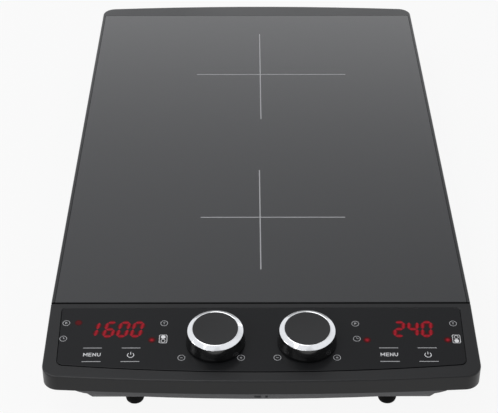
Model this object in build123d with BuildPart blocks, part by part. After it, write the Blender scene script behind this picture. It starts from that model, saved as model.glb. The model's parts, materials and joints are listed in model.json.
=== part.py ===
from build123d import *
import math
import os

os.makedirs("parts", exist_ok=True)

# Portable double induction hob.
# Frame: +Z up, floor at Z = 0, X across, +Y to the back; the origin is the middle of the footprint.
# The sloping control deck has its own frame: x across, "down" along the slope, "lift" square to it.

# ---- overall sizes ----
body_length = 610.0
body_width = 340.0
body_height = 60.0
front_bow = 6.0
back_bow = 6.5
corner_radius = 13.0
top_edge_radius = 1.2
casing_wall = 2.4
casing_depth = 21.8

# ---- glass ----
back_strip = 22.5
glass_thickness = 4.0
glass_corner_radius = 1.5
side_rim = 2.6
glass_gap = 0.15
glass_edge_chamfer = 0.25
seal_thickness = 0.8
seal_width = 8.0
ledge_width = 14.0
ledge_thickness = 2.4
front_groove = 2.2
side_groove_depth = 2.5

# ---- control deck ----
control_depth = 85.5
deck_angle = 6.0
deck_thickness = 3.4
recess_depth = 1.2
recess_chamfer = 0.5
overlay_thickness = 1.4
overlay_edge_radius = 0.3
overlay_gap = 0.4
overlay_margin = 10.0
overlay_top_down = 7.4
overlay_corner_down = 68.0
overlay_front_down = 75.6
overlay_corner_radius = 5.0
overlay_top_corner_radius = 2.0

# ---- knobs and encoders ----
knob_spacing = 72.0
knob_down = 43.6
knob_base_diameter = 46.8
knob_taper = 3.0
knob_ring_width = 4.05
knob_height = 14.5
knob_clearance = 0.7
knob_ring_drop = 2.4
knob_ring_depth = 2.6
knob_wall = 2.0
cap_dish = 0.6
cap_gap = 0.05
shaft_diameter = 6.0
shaft_clearance = 0.05
bush_wall = 0.45
bush_hole_clearance = 0.1
bush_height = 5.0
encoder_size = 12.4
encoder_height = 6.5
nut_flats = 10.0
nut_thickness = 2.0

# ---- displays, touch keys and lights: each place is in from the overlay's nearer side, and down ----
display_height = 20.0
display_clearance = 0.6
left_display_inset = 47.4
left_display_width = 42.0
right_display_inset = 39.4
right_display_width = 35.0
display_down = 31.2
left_touch_keys = ((27.6, 58.0), (58.0, 58.0))
right_touch_keys = ((60.3, 58.2), (30.0, 58.2))
touch_spring_diameter = 8.0
touch_hole_clearance = 1.0
touch_wire = 0.8
left_lights = ((14.4, 23.6), (73.7, 42.2))
right_lights = ((76.6, 42.6), (13.1, 42.6))
light_diameter = 3.0
light_clearance = 0.3

# ---- bottom pan and feet ----
foot_height = 10.0
foot_diameter = 15.0
foot_sole_radius = 2.8
foot_side_inset = 68.5
front_foot_inset = 36.5
back_foot_inset = 37.0
foot_recess_diameter = 7.0
foot_recess_depth = 4.0
pan_wall = 2.0
lip_height = 5.0
lip_inset = 0.3
lip_corner_radius = 44.0
lip_extra_bow = 3.0
web_gap = 0.3
pan_inset = 14.0
pan_front_corner_radius = 50.0
pan_back_corner_radius = 12.0
pan_front_inset = 19.0
pan_front_slope_run = 9.0
latch_slot_x = -3.0
latch_slot_width = 5.1
latch_mark_x = 3.7
latch_mark_width = 1.7
latch_slot_height = 2.4
latch_slot_depth = 1.0
screw_diameter = 3.5
screw_head_diameter = 6.4
screw_head_height = 2.2
screw_clearance = 0.05
boss_diameter = 9.0
vent_slot_width = 3.0
vent_slot_pitch = 7.0
vent_slot_count = 16
vent_slot_height = 12.0

# ---- coils ----
front_coil_diameter = 150.0
rear_coil_diameter = 175.0
front_coil_from_glass_front = 118.4
rear_coil_from_glass_front = 371.2
coil_gap = 0.3
mica_thickness = 0.5
winding_thickness = 4.5
winding_bore = 44.0
winding_split = 5.0
carrier_thickness = 3.0
carrier_rim = 3.0
ferrite_thickness = 5.0
ferrite_width = 12.0
ferrite_count = 8
sensor_diameter = 12.0
sensor_clearance = 0.3
coil_post_diameter = 8.0
coil_pin_diameter = 4.0
coil_spring_height = 8.0
coil_spring_wall = 1.0

# ---- power electronics ----
board_length = 230.0
board_width = 80.0
board_thickness = 1.6
board_standoff = 8.0
board_hole_inset = 5.0
heatsink_length = 70.0
heatsink_width = 52.0
heatsink_drop = 1.0
heatsink_base = 4.0
fin_thickness = 1.6
fin_count = 8
capacitor_length = 26.0
capacitor_width = 12.0
component_headroom = 3.1
choke_diameter = 27.0
choke_drop = 4.0
choke_bore = 11.0
control_board_inset = 7.0
control_board_width = 52.0
control_board_down = 42.0
control_screw_inset = 5.0
control_screw_down = 61.0
control_screw_diameter = 2.5

# ---- cooling fans ----
fan_spacing = 170.0
fan_size = 80.0
fan_height = 18.0
fan_bore = 76.0
fan_hub_diameter = 30.0
fan_blade_count = 7
fan_tip_clearance = 1.5
fan_axle_diameter = 3.0
fan_axle_clearance = 0.05
fan_strut_width = 5.0
fan_strut_thickness = 2.5
fan_screw_pitch = 71.5

# ---- mains inlet ----
gland_inset = 36.0
gland_height = 21.5
gland_bore = 7.6
gland_neck_diameter = 12.0
gland_flange_diameter = 17.0
gland_flange_thickness = 3.0
gland_nose_length = 6.0
gland_nut_thickness = 4.0
gland_hole_clearance = 0.1
clamp_length = 22.0
clamp_width = 8.0
clamp_height = 4.0
clamp_post_height = 5.0
terminal_length = 40.0
terminal_width = 18.0
terminal_height = 15.0
terminal_inset = 38.0
terminal_from_gland = 60.0

# ---- levels and lines that follow from them ----
knob_ring_diameter = knob_base_diameter - knob_taper
knob_cap_diameter = knob_ring_diameter - 2 * knob_ring_width
bush_diameter = shaft_diameter + 2 * (shaft_clearance + bush_wall)
overlay_half_width = body_width / 2 - overlay_margin
casing_bottom = body_height - casing_depth
glass_front_y = -body_length / 2 + control_depth
glass_length = body_length - control_depth - back_strip
glass_back_y = glass_front_y + glass_length
glass_half_width = body_width / 2 - side_rim - glass_gap
glass_underside = body_height - glass_thickness
ledge_top = glass_underside - seal_thickness
ledge_underside = ledge_top - ledge_thickness
deck_start_y = glass_front_y - front_groove
slope = math.radians(deck_angle)
lip_bottom = casing_bottom - lip_height
flange_top = lip_bottom + pan_wall
pan_floor = foot_height + pan_wall
pan_half_width = body_width / 2 - pan_inset
pan_back_y = body_length / 2 - back_bow - pan_inset
pan_front_y = -body_length / 2 + pan_front_inset
board_bottom = pan_floor + board_standoff
board_top = board_bottom + board_thickness
front_coil_y = glass_front_y + front_coil_from_glass_front
rear_coil_y = glass_front_y + rear_coil_from_glass_front
coils = (("front", front_coil_diameter, front_coil_y), ("rear", rear_coil_diameter, rear_coil_y))
mica_bottom = glass_underside - coil_gap - mica_thickness
winding_bottom = mica_bottom - winding_thickness
carrier_bottom = winding_bottom - carrier_thickness
coil_post_top = carrier_bottom - coil_spring_height
capacitor_height = carrier_bottom - ferrite_thickness - component_headroom - board_top
heatsink_height = capacitor_height - heatsink_drop
choke_height = capacitor_height - choke_drop
gland_x = pan_half_width - gland_inset
fan_y = (front_coil_y + front_coil_diameter / 2 + rear_coil_y - rear_coil_diameter / 2) / 2
fans = (("left", -fan_spacing / 2), ("right", fan_spacing / 2))
knobs = (("left", -knob_spacing / 2), ("right", knob_spacing / 2))
displays = (
    ("left", left_display_inset - overlay_half_width, left_display_width),
    ("right", overlay_half_width - right_display_inset, right_display_width),
)


def deck_places(left, right):
    """Places across the deck and down it, from places given inwards from each side of the overlay."""
    places = [(inset - overlay_half_width, down) for inset, down in left]
    return places + [(overlay_half_width - inset, down) for inset, down in right]


touch_keys = deck_places(left_touch_keys, right_touch_keys)
light_places = deck_places(left_lights, right_lights)
control_board_length = 2 * (overlay_half_width - control_board_inset)
control_screw_reach = control_board_length / 2 - control_screw_inset
control_screw_x = (-control_screw_reach, 0, control_screw_reach)
control_board_lift = -deck_thickness - encoder_height
overlay_lift = -recess_depth
overlay_top_lift = overlay_lift + overlay_thickness
foot_x = body_width / 2 - foot_side_inset
front_foot_y = -body_length / 2 + front_foot_inset
back_foot_y = body_length / 2 - back_foot_inset
foot_places = [(sx * foot_x, y) for sx in (-1, 1) for y in (front_foot_y, back_foot_y)]
boss_inset = (lip_inset + pan_wall + pan_inset) / 2
side_boss_x = body_width / 2 - boss_inset
front_boss_y = (pan_front_y - body_length / 2 + front_bow / 2 + lip_inset + pan_wall) / 2
back_boss_y = (pan_back_y + body_length / 2 - back_bow / 2 - lip_inset - pan_wall) / 2
casing_screw_places = [(sx * side_boss_x, sy * body_length / 4.2) for sx in (-1, 1) for sy in (-1, 1)]
casing_screw_places += [(sx * body_width / 4.6, back_boss_y) for sx in (-1, 1)]
casing_screw_places += [(sx * body_width / 3.2, front_boss_y) for sx in (-1, 1)]
board_hole_x = board_length / 2 - board_hole_inset
board_hole_y = board_width / 2 - board_hole_inset


# ---- helpers ----
def save(builder, name):
    """Labels a finished piece and writes it under its own name."""
    builder.part.label = name
    export_step(builder.part, f"parts/{name}.step")


def body_outline(inset, corner, bow=front_bow):
    """Plan outline of the body moved inwards: straight sides, bowed front and back, round corners."""
    half_width = body_width / 2 - inset
    front = -body_length / 2 + inset
    back = body_length / 2 - inset
    with BuildSketch() as outline:
        with BuildLine():
            front_edge = ThreePointArc((-half_width, front + bow), (0, front), (half_width, front + bow))
            right_edge = Line(front_edge @ 1, (half_width, back - back_bow))
            back_edge = ThreePointArc(right_edge @ 1, (0, back), (-half_width, back - back_bow))
            Line(back_edge @ 1, front_edge @ 0)
        make_face()
        fillet(outline.vertices(), corner)
    return outline.sketch


def lip_outline(inset):
    """Plan outline of the pan's lip: rounder corners and more bow in front than the casing."""
    return body_outline(lip_inset + inset, lip_corner_radius - inset, front_bow + lip_extra_bow)


def deck_height(y):
    """Height of the deck's top surface at a place along the body."""
    return body_height - (deck_start_y - y) * math.tan(slope)


def deck_point(x, down, lift):
    """A place on the deck: across, down the slope from the groove's glass side, and square to it."""
    return Vector(
        x,
        glass_front_y - down * math.cos(slope) - lift * math.sin(slope),
        body_height
        + front_groove * math.sin(slope)
        - down * math.sin(slope)
        + lift * math.cos(slope),
    )


def deck_plane(lift):
    """Plane parallel to the deck at a lift; its x runs across and its y runs up the slope."""
    return Plane(
        origin=deck_point(0, 0, lift), x_dir=(1, 0, 0), z_dir=(0, -math.sin(slope), math.cos(slope))
    )


def knob_axis(x):
    """Turning axis of a knob, square to the deck."""
    return Axis(deck_point(x, knob_down, 0), (0, -math.sin(slope), math.cos(slope)))


def knob_section_plane(x):
    """Upright plane through a knob's axis; its y is the height over the deck."""
    return Plane(
        origin=deck_point(x, knob_down, 0), x_dir=(1, 0, 0), z_dir=(0, -math.cos(slope), -math.sin(slope))
    )


def overlay_outline(extra):
    """Outline of the control overlay: straight top, slightly closing sides, bowed front."""
    side = overlay_half_width + extra
    top = -overlay_top_down + extra
    with BuildSketch() as outline:
        with BuildLine():
            Polyline(
                (-side + 1.5, -overlay_corner_down - extra), (-side, top), (side, top),
                (side - 1.5, -overlay_corner_down - extra),
            )
            ThreePointArc(
                (side - 1.5, -overlay_corner_down - extra),
                (0, -overlay_front_down - extra),
                (-side + 1.5, -overlay_corner_down - extra),
            )
        make_face()
        fillet(outline.vertices().group_by(Axis.Y)[-1], overlay_top_corner_radius)
        fillet(outline.vertices().group_by(Axis.Y)[0], overlay_corner_radius)
    return outline.sketch


# ---- top casing ----
# The hollow under the casing's skin: deep under the deck, lower under the glass ledge.
slope_under = deck_thickness / math.cos(slope)
front_line = -body_length / 2 - 5
with BuildPart() as casing_hollow:
    with BuildSketch(Plane.XY.offset(casing_bottom - 1)):
        add(body_outline(casing_wall, corner_radius - casing_wall))
    extrude(amount=casing_depth)
    with BuildSketch(Plane.YZ.offset(-body_width)):
        with BuildLine():
            Polyline(
                (front_line, casing_bottom - 2),
                (front_line, deck_height(front_line) - slope_under),
                (deck_start_y - casing_wall, deck_height(deck_start_y - casing_wall) - slope_under),
                (deck_start_y - casing_wall, ledge_underside),
                (glass_back_y + glass_gap + casing_wall, ledge_underside),
                (glass_back_y + glass_gap + casing_wall, body_height - casing_wall),
                (body_length / 2, body_height - casing_wall),
                (body_length / 2, casing_bottom - 2),
                close=True,
            )
        make_face()
    extrude(amount=2 * body_width, mode=Mode.INTERSECT)

with BuildPart() as top_casing:
    with BuildSketch(Plane.XY.offset(casing_bottom)):
        add(body_outline(0, corner_radius))
    extrude(amount=casing_depth)
    with BuildSketch(Plane.YZ.offset(-body_width)):
        with BuildLine():
            Polyline(
                (deck_start_y, body_height),
                (front_line, deck_height(front_line)),
                (front_line, body_height + 1),
                (deck_start_y, body_height + 1),
                close=True,
            )
        make_face()
    extrude(amount=2 * body_width, mode=Mode.SUBTRACT)
    top_faces = top_casing.faces().filter_by(lambda f: f.normal_at().Z > 0.9)
    rim_edges = [e for f in top_faces for e in f.edges() if abs(e.center().Y - deck_start_y) > 0.01]
    fillet(rim_edges, top_edge_radius)
    add(casing_hollow.part, mode=Mode.SUBTRACT)
    # Pocket that the glass lies in, and the opening inside its ledge.
    with BuildSketch(Plane.XY.offset(ledge_top)):
        with Locations((0, (deck_start_y + glass_back_y + glass_gap) / 2)):
            RectangleRounded(
                2 * (glass_half_width + glass_gap),
                glass_length + front_groove + glass_gap,
                glass_corner_radius,
            )
    extrude(amount=glass_thickness + seal_thickness + 1, mode=Mode.SUBTRACT)
    # The groove in front of the glass runs out through the side rims.
    with BuildSketch(Plane.XY.offset(body_height - side_groove_depth)):
        with Locations((0, (deck_start_y + glass_front_y) / 2)):
            Rectangle(body_width + 2, front_groove)
    extrude(amount=side_groove_depth + 1, mode=Mode.SUBTRACT)
    with BuildSketch(Plane.XY.offset(ledge_underside - 1)):
        with Locations((0, (glass_front_y + glass_back_y) / 2)):
            RectangleRounded(
                2 * (glass_half_width - ledge_width), glass_length - 2 * ledge_width, glass_corner_radius
            )
    extrude(amount=ledge_thickness + 2, mode=Mode.SUBTRACT)
    # Recess of the overlay and the holes through the deck.
    with BuildSketch(deck_plane(overlay_lift)):
        add(overlay_outline(overlay_gap))
    extrude(amount=recess_depth + 2, mode=Mode.SUBTRACT)
    with BuildSketch(deck_plane(-recess_chamfer)):
        add(overlay_outline(overlay_gap))
    extrude(amount=2 * recess_chamfer, taper=-45, mode=Mode.SUBTRACT)
    with BuildSketch(deck_plane(-deck_thickness - 2)):
        with Locations([(x, -knob_down) for side, x in knobs]):
            Circle(bush_diameter / 2 + bush_hole_clearance)
        for side, x, width in displays:
            with Locations((x, -display_down)):
                Rectangle(width + 2 * display_clearance, display_height + 2 * display_clearance)
        with Locations([(x, -down) for x, down in touch_keys]):
            Circle(touch_spring_diameter / 2 + touch_hole_clearance)
        with Locations([(x, -down) for x, down in light_places]):
            Circle(light_diameter / 2 + light_clearance)
    extrude(amount=deck_thickness + 2, mode=Mode.SUBTRACT)
    # Posts under the deck that the control board is screwed to.
    with BuildSketch(deck_plane(control_board_lift)):
        with Locations([(x, -control_screw_down) for x in control_screw_x]):
            Circle(boss_diameter / 2 - 1)
    extrude(amount=encoder_height + deck_thickness - recess_depth - 1)
    with BuildSketch(deck_plane(control_board_lift)):
        with Locations([(x, -control_screw_down) for x in control_screw_x]):
            Circle(control_screw_diameter / 2 + screw_clearance)
    extrude(amount=encoder_height, mode=Mode.SUBTRACT)
    # Posts that stand on the pan's flange and take the casing screws.
    for x, y in casing_screw_places:
        post_top = ledge_underside + 1
        if y < deck_start_y:
            post_top = deck_height(y) - deck_thickness
        if y > glass_back_y:
            post_top = body_height - casing_wall + 0.5
        with BuildSketch(Plane.XY.offset(flange_top)):
            with Locations((x, y)):
                Circle(boss_diameter / 2)
        extrude(amount=post_top - flange_top)
        with BuildSketch(Plane.XY.offset(flange_top)):
            with Locations((x, y)):
                Circle(screw_diameter / 2 + screw_clearance)
        extrude(amount=12, mode=Mode.SUBTRACT)
save(top_casing, "top_casing")

# ---- glass ----
with BuildPart() as glass_plate:
    with BuildSketch(Plane.XY.offset(glass_underside)):
        with Locations((0, (glass_front_y + glass_back_y) / 2)):
            RectangleRounded(2 * glass_half_width, glass_length, glass_corner_radius)
    extrude(amount=glass_thickness)
    chamfer(glass_plate.faces().sort_by(Axis.Z)[-1].edges(), glass_edge_chamfer)
save(glass_plate, "glass_plate")

with BuildPart() as glass_seal:
    with BuildSketch(Plane.XY.offset(ledge_top)):
        with Locations((0, (glass_front_y + glass_back_y) / 2)):
            RectangleRounded(2 * glass_half_width, glass_length, glass_corner_radius)
            RectangleRounded(
                2 * (glass_half_width - seal_width),
                glass_length - 2 * seal_width,
                glass_corner_radius,
                mode=Mode.SUBTRACT,
            )
    extrude(amount=seal_thickness)
save(glass_seal, "glass_seal")

# ---- control overlay ----
with BuildPart() as control_overlay:
    with BuildSketch(deck_plane(overlay_lift)):
        add(overlay_outline(0))
        with Locations([(x, -knob_down) for side, x in knobs]):
            Circle(bush_diameter / 2 + bush_hole_clearance, mode=Mode.SUBTRACT)
    extrude(amount=overlay_thickness)
    overlay_top = control_overlay.faces().filter_by(lambda f: f.normal_at().Z > 0.9)[0]
    fillet(overlay_top.outer_wire().edges(), overlay_edge_radius)
save(control_overlay, "control_overlay")


# ---- knobs, each with its encoder ----
def make_knob(side, x):
    """Knob of one side: black grip, polished ring, dished cap, and the encoder shaft it is pressed on."""
    bottom = overlay_top_lift + knob_clearance
    top = overlay_top_lift + knob_height
    ring_bottom = top - knob_ring_depth
    base_radius = knob_base_diameter / 2
    ring_radius = knob_ring_diameter / 2
    cap_radius = knob_cap_diameter / 2
    grip_under_top = ring_bottom - knob_wall
    shaft_top = ring_bottom - knob_wall / 2
    with BuildPart() as grip:
        with BuildSketch(knob_section_plane(x)):
            with BuildLine():
                Polyline(
                    (0, ring_bottom),
                    (ring_radius, ring_bottom),
                    (base_radius, bottom + 1.6),
                    (base_radius, bottom),
                    (base_radius - knob_wall, bottom),
                    (ring_radius - knob_wall, grip_under_top),
                    (shaft_diameter / 2 + 2.5, grip_under_top),
                    (shaft_diameter / 2 + 2.5, bush_height + 0.6),
                    (shaft_diameter / 2, bush_height + 0.6),
                    (shaft_diameter / 2, shaft_top),
                    (0, shaft_top),
                    close=True,
                )
            make_face()
        revolve(axis=knob_axis(x))
    save(grip, f"knob_{side}_grip")
    with BuildPart() as ring:
        with BuildSketch(knob_section_plane(x)):
            with BuildLine():
                Polyline(
                    (cap_radius, ring_bottom),
                    (ring_radius, ring_bottom),
                    (ring_radius, top - knob_ring_drop),
                    (cap_radius + 0.4, top),
                    (cap_radius, top),
                    close=True,
                )
            make_face()
        revolve(axis=knob_axis(x))
    save(ring, f"knob_{side}_ring")
    with BuildPart() as cap:
        with BuildSketch(knob_section_plane(x)):
            with BuildLine():
                rim = cap_radius - cap_gap
                Line((0, ring_bottom), (rim, ring_bottom))
                Line((rim, ring_bottom), (rim, top - 0.2))
                dish_radius = (rim**2 + cap_dish**2) / (2 * cap_dish)
                dish_rise = dish_radius - math.sqrt(dish_radius**2 - (rim / 2) ** 2)
                dish_floor = top - 0.2 - cap_dish
                ThreePointArc((rim, top - 0.2), (rim / 2, dish_floor + dish_rise), (0, dish_floor))
                Line((0, dish_floor), (0, ring_bottom))
            make_face()
        revolve(axis=knob_axis(x))
    save(cap, f"knob_{side}_cap")
    with BuildPart() as shaft:
        with BuildSketch(knob_section_plane(x)):
            with BuildLine():
                Polyline(
                    (0, control_board_lift + 1.5),
                    (shaft_diameter / 2, control_board_lift + 1.5),
                    (shaft_diameter / 2, shaft_top),
                    (0, shaft_top),
                    close=True,
                )
            make_face()
        revolve(axis=knob_axis(x))
    save(shaft, f"knob_{side}_shaft")


def make_encoder(side, x):
    """Encoder housing on the control board, with its threaded bush up through the deck."""
    with BuildPart() as encoder:
        with BuildSketch(deck_plane(control_board_lift)):
            with Locations((x, -knob_down)):
                RectangleRounded(encoder_size, encoder_size, 0.8)
        extrude(amount=encoder_height)
        with BuildSketch(deck_plane(-deck_thickness)):
            with Locations((x, -knob_down)):
                Circle(bush_diameter / 2)
        extrude(amount=deck_thickness + bush_height)
        with BuildSketch(deck_plane(control_board_lift + 1.2)):
            with Locations((x, -knob_down)):
                Circle(shaft_diameter / 2 + shaft_clearance)
        extrude(amount=deck_thickness + encoder_height + bush_height, mode=Mode.SUBTRACT)
    save(encoder, f"encoder_{side}")


for side, x in knobs:
    make_knob(side, x)
    make_encoder(side, x)

with BuildPart() as encoder_nuts:
    with BuildSketch(deck_plane(overlay_top_lift)):
        with Locations([(x, -knob_down) for side, x in knobs]):
            RegularPolygon(nut_flats / 2, 6, major_radius=False)
            Circle(bush_diameter / 2 + screw_clearance, mode=Mode.SUBTRACT)
    extrude(amount=nut_thickness)
save(encoder_nuts, "encoder_nuts")

# ---- control board and what stands on it ----
with BuildPart() as control_board:
    with BuildSketch(deck_plane(control_board_lift - board_thickness)):
        with Locations((0, -control_board_down)):
            RectangleRounded(control_board_length, control_board_width, 2)
        with Locations([(x, -control_screw_down) for x in control_screw_x]):
            Circle(control_screw_diameter / 2 + screw_clearance, mode=Mode.SUBTRACT)
    extrude(amount=board_thickness)
save(control_board, "control_board")

for side, x, width in displays:
    with BuildPart() as display:
        with BuildSketch(deck_plane(control_board_lift)):
            with Locations((x, -display_down)):
                Rectangle(width, display_height)
        extrude(amount=overlay_lift - control_board_lift - 0.3)
        chamfer(display.edges().filter_by(lambda e: e.length > display_height / 2).sort_by(Axis.Z)[-4:], 0.4)
    save(display, f"display_{side}")

with BuildPart() as indicator_lights:
    with BuildSketch(deck_plane(control_board_lift)):
        with Locations([(x, -down) for x, down in light_places]):
            Circle(light_diameter / 2)
    extrude(amount=overlay_lift - control_board_lift - 0.3)
save(indicator_lights, "indicator_lights")

with BuildPart() as touch_springs:
    with BuildSketch(deck_plane(control_board_lift)):
        with Locations([(x, -down) for x, down in touch_keys]):
            Circle(touch_spring_diameter / 2)
            Circle(touch_spring_diameter / 2 - touch_wire, mode=Mode.SUBTRACT)
    extrude(amount=overlay_lift - control_board_lift)
save(touch_springs, "touch_springs")

with BuildPart() as control_board_screws:
    with BuildSketch(deck_plane(control_board_lift - board_thickness - 1.6)):
        with Locations([(x, -control_screw_down) for x in control_screw_x]):
            Circle(control_screw_diameter)
    extrude(amount=1.6)
    with BuildSketch(deck_plane(control_board_lift - board_thickness)):
        with Locations([(x, -control_screw_down) for x in control_screw_x]):
            Circle(control_screw_diameter / 2)
    extrude(amount=board_thickness + encoder_height - 1)
save(control_board_screws, "control_board_screws")

# ---- bottom pan ----
post_radius_factor = math.cos(math.radians(45))
coil_post_places = []
for name, diameter, y in coils:
    reach = (diameter / 2 - coil_post_diameter / 2) * post_radius_factor
    coil_post_places += [(sx * reach, y + sy * reach) for sx in (-1, 1) for sy in (-1, 1)]
board_post_places = [
    (sx * board_hole_x, y + sy * board_hole_y) for name, d, y in coils for sx in (-1, 1) for sy in (-1, 1)
]
clamp_y = pan_back_y - pan_wall - gland_nut_thickness - 12
clamp_post_places = [(gland_x + s * (clamp_length / 2 - 3.5), clamp_y) for s in (-1, 1)]
# Front wall of the pan: it leans back from the flange down to the floor.
pan_slope_top = (pan_front_y, lip_bottom)
pan_slope_foot = (pan_front_y + pan_front_slope_run, foot_height)


def pan_box(inset, bottom, top):
    """Rounded box inside the pan's outline with its front cut back by the sloping wall."""
    run = (pan_slope_foot[0] - pan_slope_top[0]) / (pan_slope_top[1] - pan_slope_foot[1])
    lean = inset * math.hypot(1, run)
    with BuildPart() as box:
        with BuildSketch(Plane.XY.offset(bottom)) as outline:
            with Locations((0, (pan_front_y + pan_back_y) / 2)):
                Rectangle(2 * (pan_half_width - inset), pan_back_y - pan_front_y - 2 * inset)
            fillet(outline.vertices().group_by(Axis.Y)[-1], pan_back_corner_radius - inset)
            fillet(outline.vertices().group_by(Axis.Y)[0], pan_front_corner_radius - inset)
        extrude(amount=top - bottom)
        with BuildSketch(Plane.YZ.offset(-body_width)):
            with BuildLine():
                Polyline(
                    (pan_slope_top[0] - 10 * run + lean, pan_slope_top[1] + 10),
                    (pan_slope_foot[0] + 10 * run + lean, pan_slope_foot[1] - 10),
                    (pan_front_y - 60, pan_slope_foot[1] - 10),
                    (pan_front_y - 60, pan_slope_top[1] + 10),
                    close=True,
                )
            make_face()
        extrude(amount=2 * body_width, mode=Mode.SUBTRACT)
    return box.part


with BuildPart() as bottom_pan:
    with BuildSketch(Plane.XY.offset(lip_bottom)):
        add(lip_outline(0))
    extrude(amount=lip_height)
    with BuildSketch(Plane.XY.offset(flange_top)):
        add(lip_outline(pan_wall))
    extrude(amount=lip_height, mode=Mode.SUBTRACT)
    # Webs inside the casing's rounder-than-the-lip corners, so that no corner is open from below.
    with BuildSketch(Plane.XY.offset(casing_bottom)):
        add(body_outline(casing_wall + web_gap, corner_radius - casing_wall - web_gap))
        add(lip_outline(pan_wall), mode=Mode.SUBTRACT)
    extrude(amount=pan_wall)
    add(pan_box(0, foot_height, flange_top))
    add(pan_box(pan_wall, pan_floor, flange_top + 1), mode=Mode.SUBTRACT)
    # Posts on the floor: for the coils, the power boards, the cable clamp and the feet's screws.
    with BuildSketch(Plane.XY.offset(pan_floor)):
        with Locations(coil_post_places):
            Circle(coil_post_diameter / 2)
    extrude(amount=coil_post_top - pan_floor)
    with BuildSketch(Plane.XY.offset(pan_floor)):
        with Locations(board_post_places):
            Circle(boss_diameter / 2 - 1)
    extrude(amount=board_standoff)
    with BuildSketch(Plane.XY.offset(pan_floor)):
        with Locations(clamp_post_places):
            Circle(3.2)
    extrude(amount=clamp_post_height)
    with BuildSketch(Plane.XY.offset(pan_floor)):
        with Locations(foot_places):
            Circle(boss_diameter / 2)
    extrude(amount=6)
    # Their screw holes.
    with BuildSketch(Plane.XY.offset(pan_floor + 1)):
        with Locations(board_post_places + clamp_post_places):
            Circle(control_screw_diameter / 2 + screw_clearance)
    extrude(amount=board_standoff, mode=Mode.SUBTRACT)
    with BuildSketch(Plane.XY.offset(coil_post_top - 8)):
        with Locations(coil_post_places):
            Circle(coil_pin_diameter / 2 + screw_clearance)
    extrude(amount=9, mode=Mode.SUBTRACT)
    with BuildSketch(Plane.XY.offset(foot_height - 1)):
        with Locations(foot_places):
            Circle(screw_diameter / 2 + screw_clearance)
    extrude(amount=pan_wall + 6, mode=Mode.SUBTRACT)
    with BuildSketch(Plane.XY.offset(lip_bottom - 1)):
        with Locations(casing_screw_places):
            Circle(screw_diameter / 2 + screw_clearance)
    extrude(amount=pan_wall + 2, mode=Mode.SUBTRACT)
    # Latch marks in the lip, air slots in the back and side walls, fan grilles in the floor.
    with BuildSketch(Plane.XZ.offset(body_length / 2 + 1)):
        with Locations((latch_slot_x, lip_bottom + lip_height / 2)):
            Rectangle(latch_slot_width, latch_slot_height)
        with Locations((latch_mark_x, lip_bottom + lip_height / 2)):
            Rectangle(latch_mark_width, latch_slot_height)
    extrude(amount=-lip_inset - latch_slot_depth - 1, mode=Mode.SUBTRACT)
    slot_middle = (pan_floor + lip_bottom) / 2
    with BuildSketch(Plane.XZ.offset(-pan_back_y - 1)):
        with Locations((-vent_slot_pitch * vent_slot_count / 3.2, slot_middle)):
            with GridLocations(vent_slot_pitch, 0, vent_slot_count, 1):
                SlotOverall(vent_slot_height, vent_slot_width, rotation=90)
    extrude(amount=pan_wall + 2, mode=Mode.SUBTRACT)
    with BuildSketch(Plane.YZ.offset(-pan_half_width - 1)):
        with Locations((front_coil_y, slot_middle), (rear_coil_y, slot_middle)):
            with GridLocations(vent_slot_pitch, 0, vent_slot_count, 1):
                SlotOverall(vent_slot_height, vent_slot_width, rotation=90)
    extrude(amount=2 * pan_half_width + 2, mode=Mode.SUBTRACT)
    grille_radius = fan_bore / 2 - 3
    grille_rows = int((grille_radius - vent_slot_width) / vent_slot_pitch)
    with BuildSketch(Plane.XY.offset(foot_height - 1)):
        for side, x in fans:
            for row in range(-grille_rows, grille_rows + 1):
                offset_y = row * vent_slot_pitch
                chord = 2 * math.sqrt(grille_radius**2 - offset_y**2)
                with Locations((x, fan_y + offset_y)):
                    SlotOverall(chord, vent_slot_width)
    extrude(amount=pan_wall + 2, mode=Mode.SUBTRACT)
    with BuildSketch(Plane.XZ.offset(-pan_back_y - 1)):
        with Locations((gland_x, gland_height)):
            Circle(gland_neck_diameter / 2 + gland_hole_clearance)
    extrude(amount=pan_wall + 2, mode=Mode.SUBTRACT)
save(bottom_pan, "bottom_pan")

# ---- feet and outer screws ----
with BuildPart() as rubber_feet:
    with BuildSketch(Plane.XY):
        with Locations(foot_places):
            Circle(foot_diameter / 2)
    extrude(amount=foot_height)
    fillet(rubber_feet.edges().filter_by(GeomType.CIRCLE).group_by(Axis.Z)[0], foot_sole_radius)
    with BuildSketch(Plane.XY):
        with Locations(foot_places):
            Circle(foot_recess_diameter / 2)
    extrude(amount=foot_recess_depth, mode=Mode.SUBTRACT)
    with BuildSketch(Plane.XY):
        with Locations(foot_places):
            Circle(screw_diameter / 2 + screw_clearance)
    extrude(amount=foot_height, mode=Mode.SUBTRACT)
save(rubber_feet, "rubber_feet")


def make_screws(name, places, head_bottom, head_diameter, head_height, diameter, length):
    """Screws that all point up: round head below, plain shank above."""
    with BuildPart() as screws:
        with BuildSketch(Plane.XY.offset(head_bottom)):
            with Locations(places):
                Circle(head_diameter / 2)
        extrude(amount=head_height)
        with BuildSketch(Plane.XY.offset(head_bottom + head_height)):
            with Locations(places):
                Circle(diameter / 2)
        extrude(amount=length)
        chamfer(screws.edges().filter_by(GeomType.CIRCLE).group_by(Axis.Z)[0], head_height / 4)
    save(screws, name)


make_screws(
    "foot_screws", foot_places, foot_recess_depth - screw_head_height, screw_head_diameter,
    screw_head_height, screw_diameter, foot_height - foot_recess_depth + pan_wall + 4,
)
make_screws(
    "casing_screws", casing_screw_places, lip_bottom - screw_head_height, screw_head_diameter,
    screw_head_height, screw_diameter, pan_wall + 10,
)


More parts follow.
